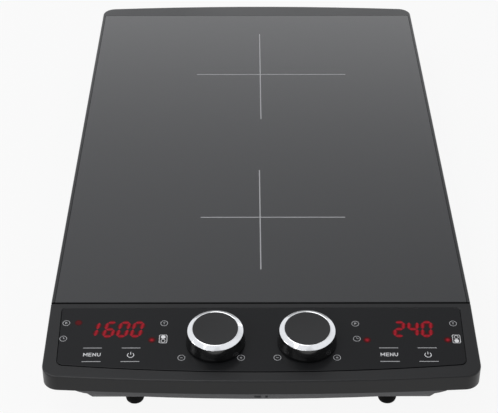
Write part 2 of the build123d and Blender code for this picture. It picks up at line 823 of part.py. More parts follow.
# ---- coils ----
def make_coil(name, diameter, y):
    """Coil of one zone: carrier on four sprung pins, ferrites, two-part winding, mica, sensor."""
    radius = diameter / 2
    reach = (radius - coil_post_diameter / 2) * post_radius_factor
    pins = [(sx * reach, y + sy * reach) for sx in (-1, 1) for sy in (-1, 1)]
    sensor_hole = sensor_diameter / 2 + sensor_clearance
    with BuildPart() as carrier:
        with BuildSketch(Plane.XY.offset(carrier_bottom)):
            with Locations((0, y)):
                Circle(radius + carrier_rim)
                Circle(sensor_hole, mode=Mode.SUBTRACT)
        extrude(amount=carrier_thickness)
        with BuildSketch(Plane.XY.offset(winding_bottom)):
            with Locations((0, y)):
                Circle(radius + carrier_rim)
                Circle(radius + carrier_rim / 2, mode=Mode.SUBTRACT)
        extrude(amount=winding_thickness)
        with BuildSketch(Plane.XY.offset(carrier_bottom)):
            with Locations(pins):
                Circle(coil_pin_diameter / 2)
        extrude(amount=-coil_spring_height - 5)
    save(carrier, f"{name}_coil_carrier")
    split_inner = radius * 0.62
    with BuildPart() as winding:
        with BuildSketch(Plane.XY.offset(winding_bottom)):
            with Locations((0, y)):
                Circle(radius)
                Circle(split_inner + winding_split, mode=Mode.SUBTRACT)
                Circle(split_inner)
                Circle(winding_bore / 2, mode=Mode.SUBTRACT)
        extrude(amount=winding_thickness)
    save(winding, f"{name}_coil_winding")
    ferrite_length = radius - winding_bore / 2 - 8
    with BuildPart() as ferrites:
        with BuildSketch(Plane.XY.offset(carrier_bottom)):
            with Locations((0, y)):
                with PolarLocations(winding_bore / 2 + ferrite_length / 2 + 2, ferrite_count, start_angle=22.5):
                    Rectangle(ferrite_length, ferrite_width)
        extrude(amount=-ferrite_thickness)
    save(ferrites, f"{name}_coil_ferrites")
    with BuildPart() as mica:
        with BuildSketch(Plane.XY.offset(mica_bottom)):
            with Locations((0, y)):
                Circle(radius + carrier_rim)
                Circle(sensor_hole, mode=Mode.SUBTRACT)
        extrude(amount=mica_thickness)
    save(mica, f"{name}_coil_mica")
    with BuildPart() as sensor:
        with BuildSketch(Plane.XY.offset(carrier_bottom)):
            with Locations((0, y)):
                Circle(sensor_diameter / 2)
        extrude(amount=glass_underside - carrier_bottom)
        with BuildSketch(Plane.XY.offset(carrier_bottom)):
            with Locations((0, y)):
                Circle(sensor_diameter / 2 + 3)
        extrude(amount=-1.5)
    save(sensor, f"{name}_temperature_sensor")
    with BuildPart() as springs:
        with BuildSketch(Plane.XY.offset(coil_post_top)):
            with Locations(pins):
                Circle(coil_post_diameter / 2)
                Circle(coil_post_diameter / 2 - coil_spring_wall, mode=Mode.SUBTRACT)
        extrude(amount=coil_spring_height)
    save(springs, f"{name}_coil_springs")


for name, diameter, y in coils:
    make_coil(name, diameter, y)


# ---- power boards ----
def make_power_board(name, y):
    """Power board of one zone with its heatsink, transistors, capacitors and choke."""
    with BuildPart() as board:
        with BuildSketch(Plane.XY.offset(board_bottom)):
            with Locations((0, y)):
                RectangleRounded(board_length, board_width, 2)
                with GridLocations(2 * board_hole_x, 2 * board_hole_y, 2, 2):
                    Circle(control_screw_diameter / 2 + screw_clearance, mode=Mode.SUBTRACT)
        extrude(amount=board_thickness)
    save(board, f"{name}_power_board")
    sink_x = -board_length / 5
    with BuildPart() as heatsink:
        with BuildSketch(Plane.XY.offset(board_top)):
            with Locations((sink_x, y)):
                Rectangle(heatsink_width, heatsink_length)
        extrude(amount=heatsink_base)
        fin_pitch = (heatsink_width - fin_thickness) / (fin_count - 1)
        with BuildSketch(Plane.XY.offset(board_top + heatsink_base)):
            with Locations((sink_x, y)):
                with GridLocations(fin_pitch, 0, fin_count, 1):
                    Rectangle(fin_thickness, heatsink_length)
        extrude(amount=heatsink_height - heatsink_base)
    save(heatsink, f"{name}_heatsink")
    with BuildPart() as transistors:
        with BuildSketch(Plane.XY.offset(board_top)):
            with Locations((sink_x + heatsink_width / 2 + 2.5, y)):
                with GridLocations(0, heatsink_length / 2, 1, 2):
                    Rectangle(5, 16)
        extrude(amount=heatsink_height)
    save(transistors, f"{name}_transistors")
    with BuildPart() as capacitors:
        with BuildSketch(Plane.XY.offset(board_top)):
            with Locations((board_length / 8, y)):
                with GridLocations(capacitor_width + 10, capacitor_length + 4, 2, 2):
                    RectangleRounded(capacitor_width, capacitor_length, 1)
        extrude(amount=capacitor_height)
        fillet(capacitors.faces().sort_by(Axis.Z)[-4:].edges(), 0.8)
    save(capacitors, f"{name}_capacitors")
    with BuildPart() as choke:
        with BuildSketch(Plane.XY.offset(board_top)):
            with Locations((board_length / 3, y)):
                Circle(choke_diameter / 2)
                Circle(choke_bore / 2, mode=Mode.SUBTRACT)
        extrude(amount=choke_height)
        fillet(choke.edges().filter_by(GeomType.CIRCLE), 2)
    save(choke, f"{name}_choke")


for name, diameter, y in coils:
    make_power_board(name, y)

with BuildPart() as board_screws:
    with BuildSketch(Plane.XY.offset(board_top)):
        with Locations(board_post_places):
            Circle(control_screw_diameter)
    extrude(amount=1.8)
    with BuildSketch(Plane.XY.offset(board_top)):
        with Locations(board_post_places):
            Circle(control_screw_diameter / 2)
    extrude(amount=-board_thickness - 5)
save(board_screws, "board_screws")


# ---- cooling fans ----
def make_fan(side, x):
    """Fan of one side: square frame with a bore and a hub plate on struts, and its bladed rotor."""
    hub_plate_bottom = pan_floor + fan_height - fan_strut_thickness
    with BuildPart() as frame:
        with BuildSketch(Plane.XY.offset(pan_floor)):
            with Locations((x, fan_y)):
                RectangleRounded(fan_size, fan_size, 4)
                Circle(fan_bore / 2, mode=Mode.SUBTRACT)
                with GridLocations(fan_screw_pitch, fan_screw_pitch, 2, 2):
                    Circle(control_screw_diameter / 2 + screw_clearance, mode=Mode.SUBTRACT)
        extrude(amount=fan_height)
        with BuildSketch(Plane.XY.offset(hub_plate_bottom)):
            with Locations((x, fan_y)):
                Circle(fan_hub_diameter / 2)
                with PolarLocations(0, 2, start_angle=45, angular_range=180):
                    Rectangle(fan_bore + 1, fan_strut_width)
        extrude(amount=fan_strut_thickness)
        with BuildSketch(Plane.XY.offset(hub_plate_bottom)):
            with Locations((x, fan_y)):
                Circle(fan_axle_diameter / 2 + 2)
        extrude(amount=-6)
        with BuildSketch(Plane.XY.offset(hub_plate_bottom - 7)):
            with Locations((x, fan_y)):
                Circle(fan_axle_diameter / 2 + fan_axle_clearance)
        extrude(amount=8, mode=Mode.SUBTRACT)
    save(frame, f"fan_{side}_frame")
    rotor_bottom = pan_floor + 1.5
    rotor_top = hub_plate_bottom - 0.8
    blade_length = fan_bore / 2 - fan_tip_clearance - fan_hub_diameter / 2
    with BuildPart() as rotor:
        with BuildSketch(Plane.XY.offset(rotor_bottom)):
            with Locations((x, fan_y)):
                Circle(fan_hub_diameter / 2)
        extrude(amount=rotor_top - rotor_bottom)
        with BuildSketch(Plane.XY.offset(rotor_bottom + 2)):
            with Locations((x, fan_y)):
                Circle(fan_hub_diameter / 2 - 1.5)
        extrude(amount=rotor_top, mode=Mode.SUBTRACT)
        with BuildSketch(Plane.XY.offset(rotor_bottom + 1)):
            with Locations((x, fan_y)):
                Circle(fan_axle_diameter / 2)
        extrude(amount=hub_plate_bottom - rotor_bottom - 1)
        with Locations((x, fan_y, (rotor_bottom + rotor_top) / 2)):
            with PolarLocations(fan_hub_diameter / 2 - 0.5 + blade_length / 2, fan_blade_count):
                Box(blade_length, 1.4, 14, rotation=(42, 0, 0))
    save(rotor, f"fan_{side}_rotor")


for side, x in fans:
    make_fan(side, x)

with BuildPart() as fan_screws:
    with BuildSketch(Plane.XY.offset(pan_floor + fan_height)):
        for side, x in fans:
            with Locations((x, fan_y)):
                with GridLocations(fan_screw_pitch, fan_screw_pitch, 2, 2):
                    Circle(control_screw_diameter)
    extrude(amount=1.8)
    with BuildSketch(Plane.XY.offset(pan_floor + fan_height)):
        for side, x in fans:
            with Locations((x, fan_y)):
                with GridLocations(fan_screw_pitch, fan_screw_pitch, 2, 2):
                    Circle(control_screw_diameter / 2)
    extrude(amount=-fan_height)
save(fan_screws, "fan_screws")

with BuildPart() as air_baffle:
    with BuildSketch(Plane.XY.offset(pan_floor)):
        with Locations((0, fan_y)):
            Rectangle(2, fan_size + 8)
            Rectangle(12, 2)
    extrude(amount=carrier_bottom - ferrite_thickness - pan_floor - 4)
save(air_baffle, "air_baffle")

# ---- mains inlet ----
with BuildPart() as cable_gland:
    with BuildSketch(Plane.XZ.offset(-pan_back_y)):
        with Locations((gland_x, gland_height)):
            Circle(gland_flange_diameter / 2)
    extrude(amount=-gland_flange_thickness)
    with BuildSketch(Plane.XZ.offset(-pan_back_y - gland_flange_thickness)):
        with Locations((gland_x, gland_height)):
            Circle(gland_neck_diameter / 2)
    extrude(amount=-gland_nose_length, taper=6)
    with BuildSketch(Plane.XZ.offset(-pan_back_y)):
        with Locations((gland_x, gland_height)):
            Circle(gland_neck_diameter / 2)
    extrude(amount=pan_wall + gland_nut_thickness + 1)
    with BuildSketch(Plane.XZ.offset(-pan_back_y - gland_flange_thickness - gland_nose_length - 1)):
        with Locations((gland_x, gland_height)):
            Circle(gland_bore / 2)
    extrude(amount=40, mode=Mode.SUBTRACT)
save(cable_gland, "cable_gland")

with BuildPart() as gland_nut:
    with BuildSketch(Plane.XZ.offset(-pan_back_y + pan_wall)):
        with Locations((gland_x, gland_height)):
            RegularPolygon(gland_flange_diameter / 2, 6, major_radius=False)
            Circle(gland_neck_diameter / 2 + screw_clearance, mode=Mode.SUBTRACT)
    extrude(amount=gland_nut_thickness)
save(gland_nut, "gland_nut")

with BuildPart() as cable_clamp:
    with BuildSketch(Plane.XY.offset(pan_floor + clamp_post_height)):
        with Locations((gland_x, clamp_y)):
            RectangleRounded(clamp_length, clamp_width, 2)
        with Locations(clamp_post_places):
            Circle(control_screw_diameter / 2 + screw_clearance, mode=Mode.SUBTRACT)
    extrude(amount=clamp_height)
    with BuildSketch(Plane.XZ.offset(-clamp_y - clamp_width)):
        with Locations((gland_x, pan_floor + clamp_post_height)):
            Circle(gland_bore / 2 - 1)
    extrude(amount=2 * clamp_width, mode=Mode.SUBTRACT)
save(cable_clamp, "cable_clamp")

with BuildPart() as clamp_screws:
    with BuildSketch(Plane.XY.offset(pan_floor + clamp_post_height + clamp_height)):
        with Locations(clamp_post_places):
            Circle(control_screw_diameter)
    extrude(amount=1.8)
    with BuildSketch(Plane.XY.offset(pan_floor + clamp_post_height + clamp_height)):
        with Locations(clamp_post_places):
            Circle(control_screw_diameter / 2)
    extrude(amount=-clamp_height - clamp_post_height + 1.5)
save(clamp_screws, "clamp_screws")

with BuildPart() as terminal_block:
    with BuildSketch(Plane.XY.offset(pan_floor)):
        with Locations((gland_x - terminal_from_gland, pan_back_y - terminal_inset)):
            RectangleRounded(terminal_length, terminal_width, 1.5)
    extrude(amount=terminal_height)
    with BuildSketch(Plane.XY.offset(pan_floor + terminal_height)):
        with Locations((gland_x - terminal_from_gland, pan_back_y - terminal_inset)):
            with GridLocations(terminal_length / 3.3, 0, 3, 1):
                Circle(2.6)
    extrude(amount=-terminal_height / 2, mode=Mode.SUBTRACT)
save(terminal_block, "terminal_block")
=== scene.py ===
import json
import math

import bpy
import numpy as np
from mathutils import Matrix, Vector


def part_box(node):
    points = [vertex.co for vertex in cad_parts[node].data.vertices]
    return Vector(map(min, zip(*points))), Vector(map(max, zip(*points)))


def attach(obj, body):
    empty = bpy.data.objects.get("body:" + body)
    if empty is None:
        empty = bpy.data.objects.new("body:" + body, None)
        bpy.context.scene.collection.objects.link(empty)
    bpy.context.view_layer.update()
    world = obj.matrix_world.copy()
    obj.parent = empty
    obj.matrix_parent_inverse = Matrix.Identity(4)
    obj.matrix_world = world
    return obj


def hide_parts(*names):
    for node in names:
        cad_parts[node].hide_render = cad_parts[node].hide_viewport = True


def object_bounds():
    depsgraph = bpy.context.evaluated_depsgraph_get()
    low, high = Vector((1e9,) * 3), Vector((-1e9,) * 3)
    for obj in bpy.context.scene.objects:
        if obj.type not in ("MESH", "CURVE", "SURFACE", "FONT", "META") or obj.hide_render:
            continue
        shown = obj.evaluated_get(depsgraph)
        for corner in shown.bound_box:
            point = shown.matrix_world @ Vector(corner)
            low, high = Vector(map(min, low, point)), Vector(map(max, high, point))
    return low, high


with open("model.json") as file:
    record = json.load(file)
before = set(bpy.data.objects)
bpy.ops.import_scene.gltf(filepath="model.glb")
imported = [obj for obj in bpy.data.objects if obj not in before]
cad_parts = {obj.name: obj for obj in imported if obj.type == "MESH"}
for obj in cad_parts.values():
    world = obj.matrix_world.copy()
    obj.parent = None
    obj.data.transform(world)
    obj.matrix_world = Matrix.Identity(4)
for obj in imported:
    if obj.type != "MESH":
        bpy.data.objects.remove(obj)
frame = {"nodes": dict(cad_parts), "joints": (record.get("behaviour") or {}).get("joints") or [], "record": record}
cad_low, cad_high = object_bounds()
record = frame["record"]
nodes = frame["nodes"]
joints = {joint["name"]: joint for joint in frame["joints"]}
MM = 0.001

# ---- places taken from the frame ----
glass_low, glass_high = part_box("glass_plate")
glass_front = glass_low[1]
glass_top = glass_high[2]
SIDES = ("left", "right")
knob_centres = {side: np.array(joints[f"knob_{side}_turn"]["pos_m"]) for side in SIDES}
DECK_UP = np.array(joints["knob_left_turn"]["axis"])
DECK_ACROSS = np.array((1.0, 0.0, 0.0))
DECK_BACK = np.cross(DECK_UP, DECK_ACROSS)


def node_points(name):
    """All corner points of a CAD node, one row each, in metres."""
    mesh = nodes[name].data
    points = np.empty(3 * len(mesh.vertices))
    mesh.vertices.foreach_get("co", points)
    return points.reshape(-1, 3)


def extent_along(name, direction, origin):
    """Least and greatest distance of a node's points from an origin, measured along a direction."""
    distance = (node_points(name) - origin) @ direction
    return distance.min(), distance.max()


# The deck's own frame: across from the middle, down from the glass, lift over the overlay.
KNOB_DOWN = 43.6 * MM
deck_middle = (knob_centres["left"] + knob_centres["right"]) / 2 + KNOB_DOWN * DECK_BACK
overlay_lift = extent_along("control_overlay", DECK_UP, deck_middle)[1]
deck_zero = deck_middle + overlay_lift * DECK_UP
PRINT_LIFT = 0.03


def on_deck(flat_mm, lift_mm=PRINT_LIFT):
    """Points given across and down the deck in millimetres, laid on the overlay, in metres.

    Place = deck zero + across * X - down * up-slope direction + lift * deck normal."""
    flat = np.asarray(flat_mm, float) * MM
    across = flat[:, :1] * DECK_ACROSS
    down = flat[:, 1:2] * DECK_BACK
    return deck_zero + across - down + lift_mm * MM * DECK_UP


# ---- camera ----
CAMERA_FROM_GLASS = (-11.2, -877.4, 711.9)
CAMERA_PITCH = 35.116
CAMERA_YAW = -0.104
LENS = 100.45


def make_camera():
    """A long lens over the front edge, looking down along the body."""
    data = bpy.data.cameras.new("camera")
    data.lens = LENS
    data.sensor_width = 36.0
    data.clip_start = 0.01
    camera = bpy.data.objects.new("camera", data)
    bpy.context.scene.collection.objects.link(camera)
    x, y, z = (value * MM for value in CAMERA_FROM_GLASS)
    camera.location = (x, glass_front + y, glass_top + z)
    camera.rotation_euler = (math.radians(90 - CAMERA_PITCH), 0, math.radians(CAMERA_YAW))
    bpy.context.scene.camera = camera


make_camera()


# ---- material helpers: grain and mottle count features per metre ----
BROAD_MOTTLE = 9.0
GLASS_MOTTLE = 14.0
GLASS_SPECK = 2600.0
INK_GRAIN = 3000.0
GLOW_GRAIN = 700.0
BOARD_TRACKS = 240.0


def new_material(name):
    """New node material, with its node tree and its shader."""
    material = bpy.data.materials.new(name)
    material.use_nodes = True
    tree = material.node_tree
    shader = tree.nodes["Principled BSDF"]
    return material, tree, shader


def noise(tree, scale, detail=2.0, roughness=0.5, stretch=(1, 1, 1)):
    """Noise on Object coordinates; scale counts features per metre."""
    coordinates = tree.nodes.new("ShaderNodeTexCoord")
    mapping = tree.nodes.new("ShaderNodeMapping")
    mapping.inputs["Scale"].default_value = stretch
    texture = tree.nodes.new("ShaderNodeTexNoise")
    texture.inputs["Scale"].default_value = scale
    texture.inputs["Detail"].default_value = detail
    texture.inputs["Roughness"].default_value = roughness
    tree.links.new(coordinates.outputs["Object"], mapping.inputs["Vector"])
    tree.links.new(mapping.outputs["Vector"], texture.inputs["Vector"])
    return texture.outputs["Fac"]


def spread(tree, source, low, high, start=0.3, end=0.7):
    """Carries a 0..1 value onto the range low..high."""
    ranged = tree.nodes.new("ShaderNodeMapRange")
    ranged.inputs["From Min"].default_value = start
    ranged.inputs["From Max"].default_value = end
    ranged.inputs["To Min"].default_value = low
    ranged.inputs["To Max"].default_value = high
    tree.links.new(source, ranged.inputs["Value"])
    return ranged.outputs["Result"]


def tint(tree, source, dark, light):
    """Colour that runs from dark to light with a 0..1 value."""
    ramp = tree.nodes.new("ShaderNodeValToRGB")
    ramp.color_ramp.elements[0].position = 0.3
    ramp.color_ramp.elements[0].color = (*dark, 1)
    ramp.color_ramp.elements[1].position = 0.7
    ramp.color_ramp.elements[1].color = (*light, 1)
    tree.links.new(source, ramp.inputs["Fac"])
    return ramp.outputs["Color"]


def bump(tree, shader, source, depth):
    """Raises the surface by a height in metres times the source value."""
    node = tree.nodes.new("ShaderNodeBump")
    node.inputs["Strength"].default_value = 1.0
    node.inputs["Distance"].default_value = depth
    tree.links.new(source, node.inputs["Height"])
    tree.links.new(node.outputs["Normal"], shader.inputs["Normal"])


def moulded(
    name, colour, roughness, grain=1400.0, depth=0.00001, specular=0.5, variation=0.12, coat=0.0
):
    """Moulded plastic or rubber: fine tool grain, slightly uneven tone and sheen."""
    material, tree, shader = new_material(name)
    fine = noise(tree, grain, 2.0)
    broad = noise(tree, BROAD_MOTTLE, 3.0)
    dark = tuple(c * (1 - variation) for c in colour)
    light = tuple(c * (1 + variation) for c in colour)
    tree.links.new(tint(tree, broad, dark, light), shader.inputs["Base Color"])
    sheen = spread(tree, broad, roughness * 0.92, roughness * 1.08)
    tree.links.new(sheen, shader.inputs["Roughness"])
    shader.inputs["Specular IOR Level"].default_value = specular
    shader.inputs["Coat Weight"].default_value = coat
    shader.inputs["Coat Roughness"].default_value = 0.08
    bump(tree, shader, fine, depth)
    return material


def metal(name, colour, roughness, stretch=(1, 1, 1), grain=900.0, depth=0.000002):
    """Bare metal with drawn or spun grain."""
    material, tree, shader = new_material(name)
    fine = noise(tree, grain, 3.0, 0.6, stretch)
    dark = tuple(c * 0.94 for c in colour)
    tree.links.new(tint(tree, fine, dark, colour), shader.inputs["Base Color"])
    sheen = spread(tree, fine, roughness * 0.85, roughness * 1.15)
    tree.links.new(sheen, shader.inputs["Roughness"])
    shader.inputs["Metallic"].default_value = 1.0
    bump(tree, shader, fine, depth)
    return material


def glass_ceramic():
    """Satin dark glass ceramic: faint mottling in the sheen, no grain to be felt."""
    material, tree, shader = new_material("satin_glass_ceramic")
    cloud = noise(tree, GLASS_MOTTLE, 4.0, 0.6)
    speck = noise(tree, GLASS_SPECK, 1.0)
    dark = (0.0125, 0.0128, 0.0137)
    light = (0.016, 0.0163, 0.0172)
    tree.links.new(tint(tree, speck, dark, light), shader.inputs["Base Color"])
    tree.links.new(spread(tree, cloud, 0.269, 0.273), shader.inputs["Roughness"])
    shader.inputs["IOR"].default_value = 1.5
    bump(tree, shader, speck, 0.0000006)
    return material


def printed_ink(name, colour):
    """Screen-printed ink: flat, slightly broken in tone."""
    material, tree, shader = new_material(name)
    broken = noise(tree, INK_GRAIN, 2.0)
    dark = tuple(c * 0.85 for c in colour)
    tree.links.new(tint(tree, broken, dark, colour), shader.inputs["Base Color"])
    shader.inputs["Roughness"].default_value = 0.5
    bump(tree, shader, broken, 0.000001)
    return material


def lit(name, colour):
    """Glowing segment behind a smoked film: a little uneven in brightness."""
    material, tree, shader = new_material(name)
    uneven = noise(tree, GLOW_GRAIN, 1.0)
    dark = tuple(c * 0.7 for c in colour)
    glow = tint(tree, uneven, dark, colour)
    shader.inputs["Base Color"].default_value = (0.02, 0.002, 0.002, 1)
    shader.inputs["Roughness"].default_value = 0.3
    shader.inputs["Specular IOR Level"].default_value = 0.1
    tree.links.new(glow, shader.inputs["Emission Color"])
    shader.inputs["Emission Strength"].default_value = 1.0
    return material


def circuit_green(name):
    """Lacquered circuit board with a broken copper pattern under the lacquer."""
    material, tree, shader = new_material(name)
    tracks = noise(tree, BOARD_TRACKS, 1.0, 0.2, (1, 6, 1))
    colour = tint(tree, tracks, (0.008, 0.07, 0.03), (0.02, 0.13, 0.05))
    tree.links.new(colour, shader.inputs["Base Color"])
    shader.inputs["Roughness"].default_value = 0.35
    bump(tree, shader, tracks, 0.00001)
    return material


# ---- materials by the record's slots ----
slot_materials = {
    "casing_black": moulded("casing_black", (0.0062, 0.0063, 0.0067), 0.36, 1500.0, 0.000006, 0.33),
    "glass_ceramic": glass_ceramic(),
    "seal_rubber": moulded("seal_rubber", (0.003, 0.003, 0.003), 0.7, 900.0, 0.00001, 0.05),
    "overlay_film": moulded(
        "overlay_film", (0.0075, 0.0077, 0.0083), 0.22, 2200.0, 0.0000015, 0.2, 0.05
    ),
    "pan_grey": moulded("pan_grey", (0.078, 0.078, 0.08), 0.42, 1100.0, 0.00001, 0.4),
    "foot_rubber": moulded("foot_rubber", (0.004, 0.004, 0.004), 0.75, 700.0, 0.00002, 0.08),
    "gland_plastic": moulded("gland_plastic", (0.012, 0.012, 0.012), 0.45, 1200.0, 0.00001, 0.4),
    "inner_plastic": moulded("inner_plastic", (0.02, 0.02, 0.02), 0.5),
    "display_face": moulded("display_face", (0.02, 0.003, 0.003), 0.25, 1400.0, 0.000003),
    "light_lens": moulded("light_lens", (0.35, 0.02, 0.02), 0.3, 900.0, 0.000003),
    "circuit_board": circuit_green("circuit_board"),
    "bright_steel": metal("bright_steel", (0.6, 0.6, 0.61), 0.28),
    "knob_black": moulded(
        "knob_black", (0.004, 0.004, 0.0042), 0.12, 1800.0, 0.0000015, 0.5, 0.05, 0.3
    ),
    "knob_chrome": metal("knob_chrome", (0.86, 0.865, 0.87), 0.07, (1, 1, 1), 400.0, 0.0000006),
    "knob_cap": moulded("knob_cap", (0.0165, 0.0166, 0.017), 0.4, 1800.0, 0.000005, 0.24),
    "sink_aluminium": metal("sink_aluminium", (0.72, 0.72, 0.73), 0.35, (1, 12, 1)),
    "component_plastic": moulded("component_plastic", (0.04, 0.045, 0.06), 0.4),
    "ferrite_dark": moulded("ferrite_dark", (0.03, 0.03, 0.033), 0.7, 500.0, 0.00004),
    "carrier_plastic": moulded("carrier_plastic", (0.42, 0.4, 0.35), 0.5),
    "copper_winding": metal("copper_winding", (0.55, 0.22, 0.1), 0.35, (1, 1, 1), 700.0, 0.00005),
    "mica_sheet": moulded("mica_sheet", (0.5, 0.45, 0.36), 0.45, 300.0, 0.00003),
}
node_slots = {part["node"]: part["material_slot"] for part in record["subparts"]}


def dress(piece, material):
    """Gives a piece one material."""
    piece.data.materials.clear()
    piece.data.materials.append(material)


for node_name, node in nodes.items():
    dress(node, slot_materials[node_slots[node_name]])


# ---- mesh helpers ----
def make_piece(name, points, faces, material, body, slot_name, smooth=True):
    """Turns points and faces into a piece that rides on a body and wears the given material; the slot name is not
    used.
    """
    mesh = bpy.data.meshes.new(name)
    mesh.from_pydata(np.asarray(points).tolist(), [], [tuple(face) for face in faces])
    mesh.update()
    mesh.shade_smooth() if smooth else mesh.shade_flat()
    piece = bpy.data.objects.new(name, mesh)
    bpy.context.scene.collection.objects.link(piece)
    dress(piece, material)
    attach(piece, body)
    return piece


def rounded_profile(corners, steps=6):
    """Outline through corners (radius, height, rounding): each corner is cut back by its rounding
    and bridged by a parabola, so the outline stays inside its own corners."""
    corners = np.asarray(corners, float)
    rows = []
    last = len(corners) - 1
    for index, (r, h, rounding) in enumerate(corners):
        here = np.array((r, h))
        if rounding == 0 or index in (0, last):
            rows.append(here[None])
            continue
        before = corners[index - 1, :2] - here
        after = corners[index + 1, :2] - here
        start = here + before * min(rounding / np.linalg.norm(before), 0.5)
        end = here + after * min(rounding / np.linalg.norm(after), 0.5)
        t = np.linspace(0, 1, steps + 1)[:, None]
        rows.append((1 - t) ** 2 * start + 2 * t * (1 - t) * here + t**2 * end)
    return np.concatenate(rows)


def turned(profile_mm, centre, up, steps=144):
    """Surface of a turned piece: profile (radius, height) carried round the axis.

    Point(i, j) = centre + r_i * (cos a_j * across + sin a_j * back) + h_i * up. A profile point on
    the axis becomes one pole point with a fan of triangles. An outline that runs from the axis at
    the bottom, outwards and up to the axis at the top, gives outward faces."""
    profile = np.asarray(profile_mm, float) * MM
    back = np.cross(up, DECK_ACROSS)
    angle = np.linspace(0, 2 * np.pi, steps, endpoint=False)
    round_way = np.cos(angle)[:, None] * DECK_ACROSS + np.sin(angle)[:, None] * back
    points = []
    rings = []
    count = 0
    for r, h in profile:
        if r < 1e-9:
            points.append((centre + h * up)[None])
            rings.append(np.full(steps, count))
            count += 1
        else:
            points.append(centre + r * round_way + h * up)
            rings.append(np.arange(count, count + steps))
            count += steps
    faces = []
    for low, high in zip(rings[:-1], rings[1:]):
        low_next = np.roll(low, -1)
        high_next = np.roll(high, -1)
        if low[0] == low[1]:
            faces += np.stack((low, high_next, high), 1).tolist()
        elif high[0] == high[1]:
            faces += np.stack((low, low_next, high), 1).tolist()
        else:
            faces += np.stack((low, low_next, high_next, high), 1).tolist()
    return np.concatenate(points), faces


def join(shapes):
    """Puts several (points, faces) shapes into one."""
    points = []
    faces = []
    count = 0
    for shape_points, shape_faces in shapes:
        points.append(np.asarray(shape_points, float))
        faces += [tuple(int(i) + count for i in face) for face in shape_faces]
        count += len(shape_points)
    return np.concatenate(points), faces


# ---- flat printed shapes, in millimetres across and down ----
# "down" grows towards the front, so outlines run clockwise on paper to face up on the deck.
def face_up(points, faces):
    """Orders each face so that it faces up when down grows away from the reader's top."""
    ordered = []
    for face in faces:
        corner = np.asarray([points[i] for i in face])
        x, y = corner[:, 0], -corner[:, 1]
        area = np.sum(x * np.roll(y, -1) - np.roll(x, -1) * y)
        ordered.append(face if area > 0 else face[::-1])
    return points, ordered


def bar(start, end, width):
    """Straight stroke: a rectangle of a width about the line from start to end."""
    start, end = np.asarray(start, float), np.asarray(end, float)
    along = (end - start) / np.linalg.norm(end - start)
    side = np.array((-along[1], along[0])) * width / 2
    points = np.array((start - side, end - side, end + side, start + side))
    return face_up(points, [(0, 1, 2, 3)])


def stroke(corners, width):
    """Stroke through corners, joints mitred: a joint's two points lie on its half-angle line."""
    corners = np.asarray(corners, float)
    step = np.diff(corners, axis=0)
    step /= np.linalg.norm(step, axis=1)[:, None]
    before = np.concatenate((step[:1], step))
    after = np.concatenate((step, step[-1:]))
    normal = np.stack((-(before + after)[:, 1], (before + after)[:, 0]), 1)
    normal /= np.linalg.norm(normal, axis=1)[:, None]
    cosine = np.abs(np.sum(normal * np.stack((-before[:, 1], before[:, 0]), 1), 1))
    reach = normal * (width / 2 / np.maximum(cosine, 0.45))[:, None]
    count = len(corners)
    points = np.concatenate((corners - reach, corners + reach))
    faces = [(i, i + 1, count + i + 1, count + i) for i in range(count - 1)]
    return face_up(points, faces)


def band(centre, radius, width, start=0.0, end=360.0, steps=48):
    """Ring or arc band: radius +- half the width, angles in degrees from right towards the top."""
    angle = np.radians(np.linspace(start, end, steps + 1))
    way = np.stack((np.cos(angle), -np.sin(angle)), 1)
    inner = np.asarray(centre) + (radius - width / 2) * way
    outer = np.asarray(centre) + (radius + width / 2) * way
    count = steps + 1
    faces = [(i, i + 1, count + i + 1, count + i) for i in range(steps)]
    return face_up(np.concatenate((inner, outer)), faces)


def disc(centre, radius, steps=32):
    """Filled circle as a fan about its centre."""
    angle = np.linspace(0, 2 * np.pi, steps, endpoint=False)
    rim = np.asarray(centre) + radius * np.stack((np.cos(angle), np.sin(angle)), 1)
    points = np.concatenate((np.asarray(centre, float)[None], rim))
    return face_up(points, [(0, 1 + i, 1 + (i + 1) % steps) for i in range(steps)])


def box_outline(centre, width, height, line, corner):
    """Rounded rectangle drawn as a closed line of even width."""
    half = np.array((width / 2, height / 2))
    angle = np.radians(np.linspace(0, 90, 6))
    quarter = np.stack((np.cos(angle), np.sin(angle)), 1)
    turns = ((1, 1), (-1, 1), (-1, -1), (1, -1))
    outer = []
    inner = []
    for index, (sx, sy) in enumerate(turns):
        bend = quarter if index % 2 == 0 else quarter[::-1]
        sign = np.array((sx, sy))
        middle = (half - corner) * sign
        outer.append(middle + bend * sign * corner)
        inner.append(middle + bend * sign * (corner - line))
    outer = np.concatenate(outer) + centre
    inner = np.concatenate(inner) + centre
    count = len(outer)
    faces = [(i, (i + 1) % count, count + (i + 1) % count, count + i) for i in range(count)]
    return face_up(np.concatenate((outer, inner)), faces)


# ---- words and signs ----
INK_LINE = 0.42
SIGN_RADIUS = 2.75
SIGN_LETTER_WIDTH = 1.6
SIGN_LETTER_HEIGHT = 2.3
SIGN_ARM = 1.0
SIGN_ARM_WIDTH = 0.45
UPRIGHT_HAND = 1.5
LEVEL_HAND = 1.3
HAND_WIDTH = 0.4
HAND_OVERLAP = 0.15
POWER_RADIUS = 2.5
POWER_STROKE = 0.55
POWER_RING_FROM, POWER_RING_TO = 128, 412
POWER_BAR_TOP = 3.3
POWER_BAR_END = 0.5
ZONE_PLATE_WIDTH = 6.4
ZONE_PLATE_HEIGHT = 9.0
ZONE_PLATE_CORNER = 1.2
ZONE_ROW_REACH = 2.05
ZONE_DISC_RADIUS = 1.85
ZONE_RING_RADIUS = 1.6
ZONE_RING_LINE = 0.4
KEY_LINE_WIDTH = 0.62
WORD_HEIGHT = 3.7
WORD_LETTERS = (("M", 3.4), ("E", 2.45), ("N", 2.8), ("U", 2.8))
WORD_SPACE = 0.7
WORD_STROKE = 0.56


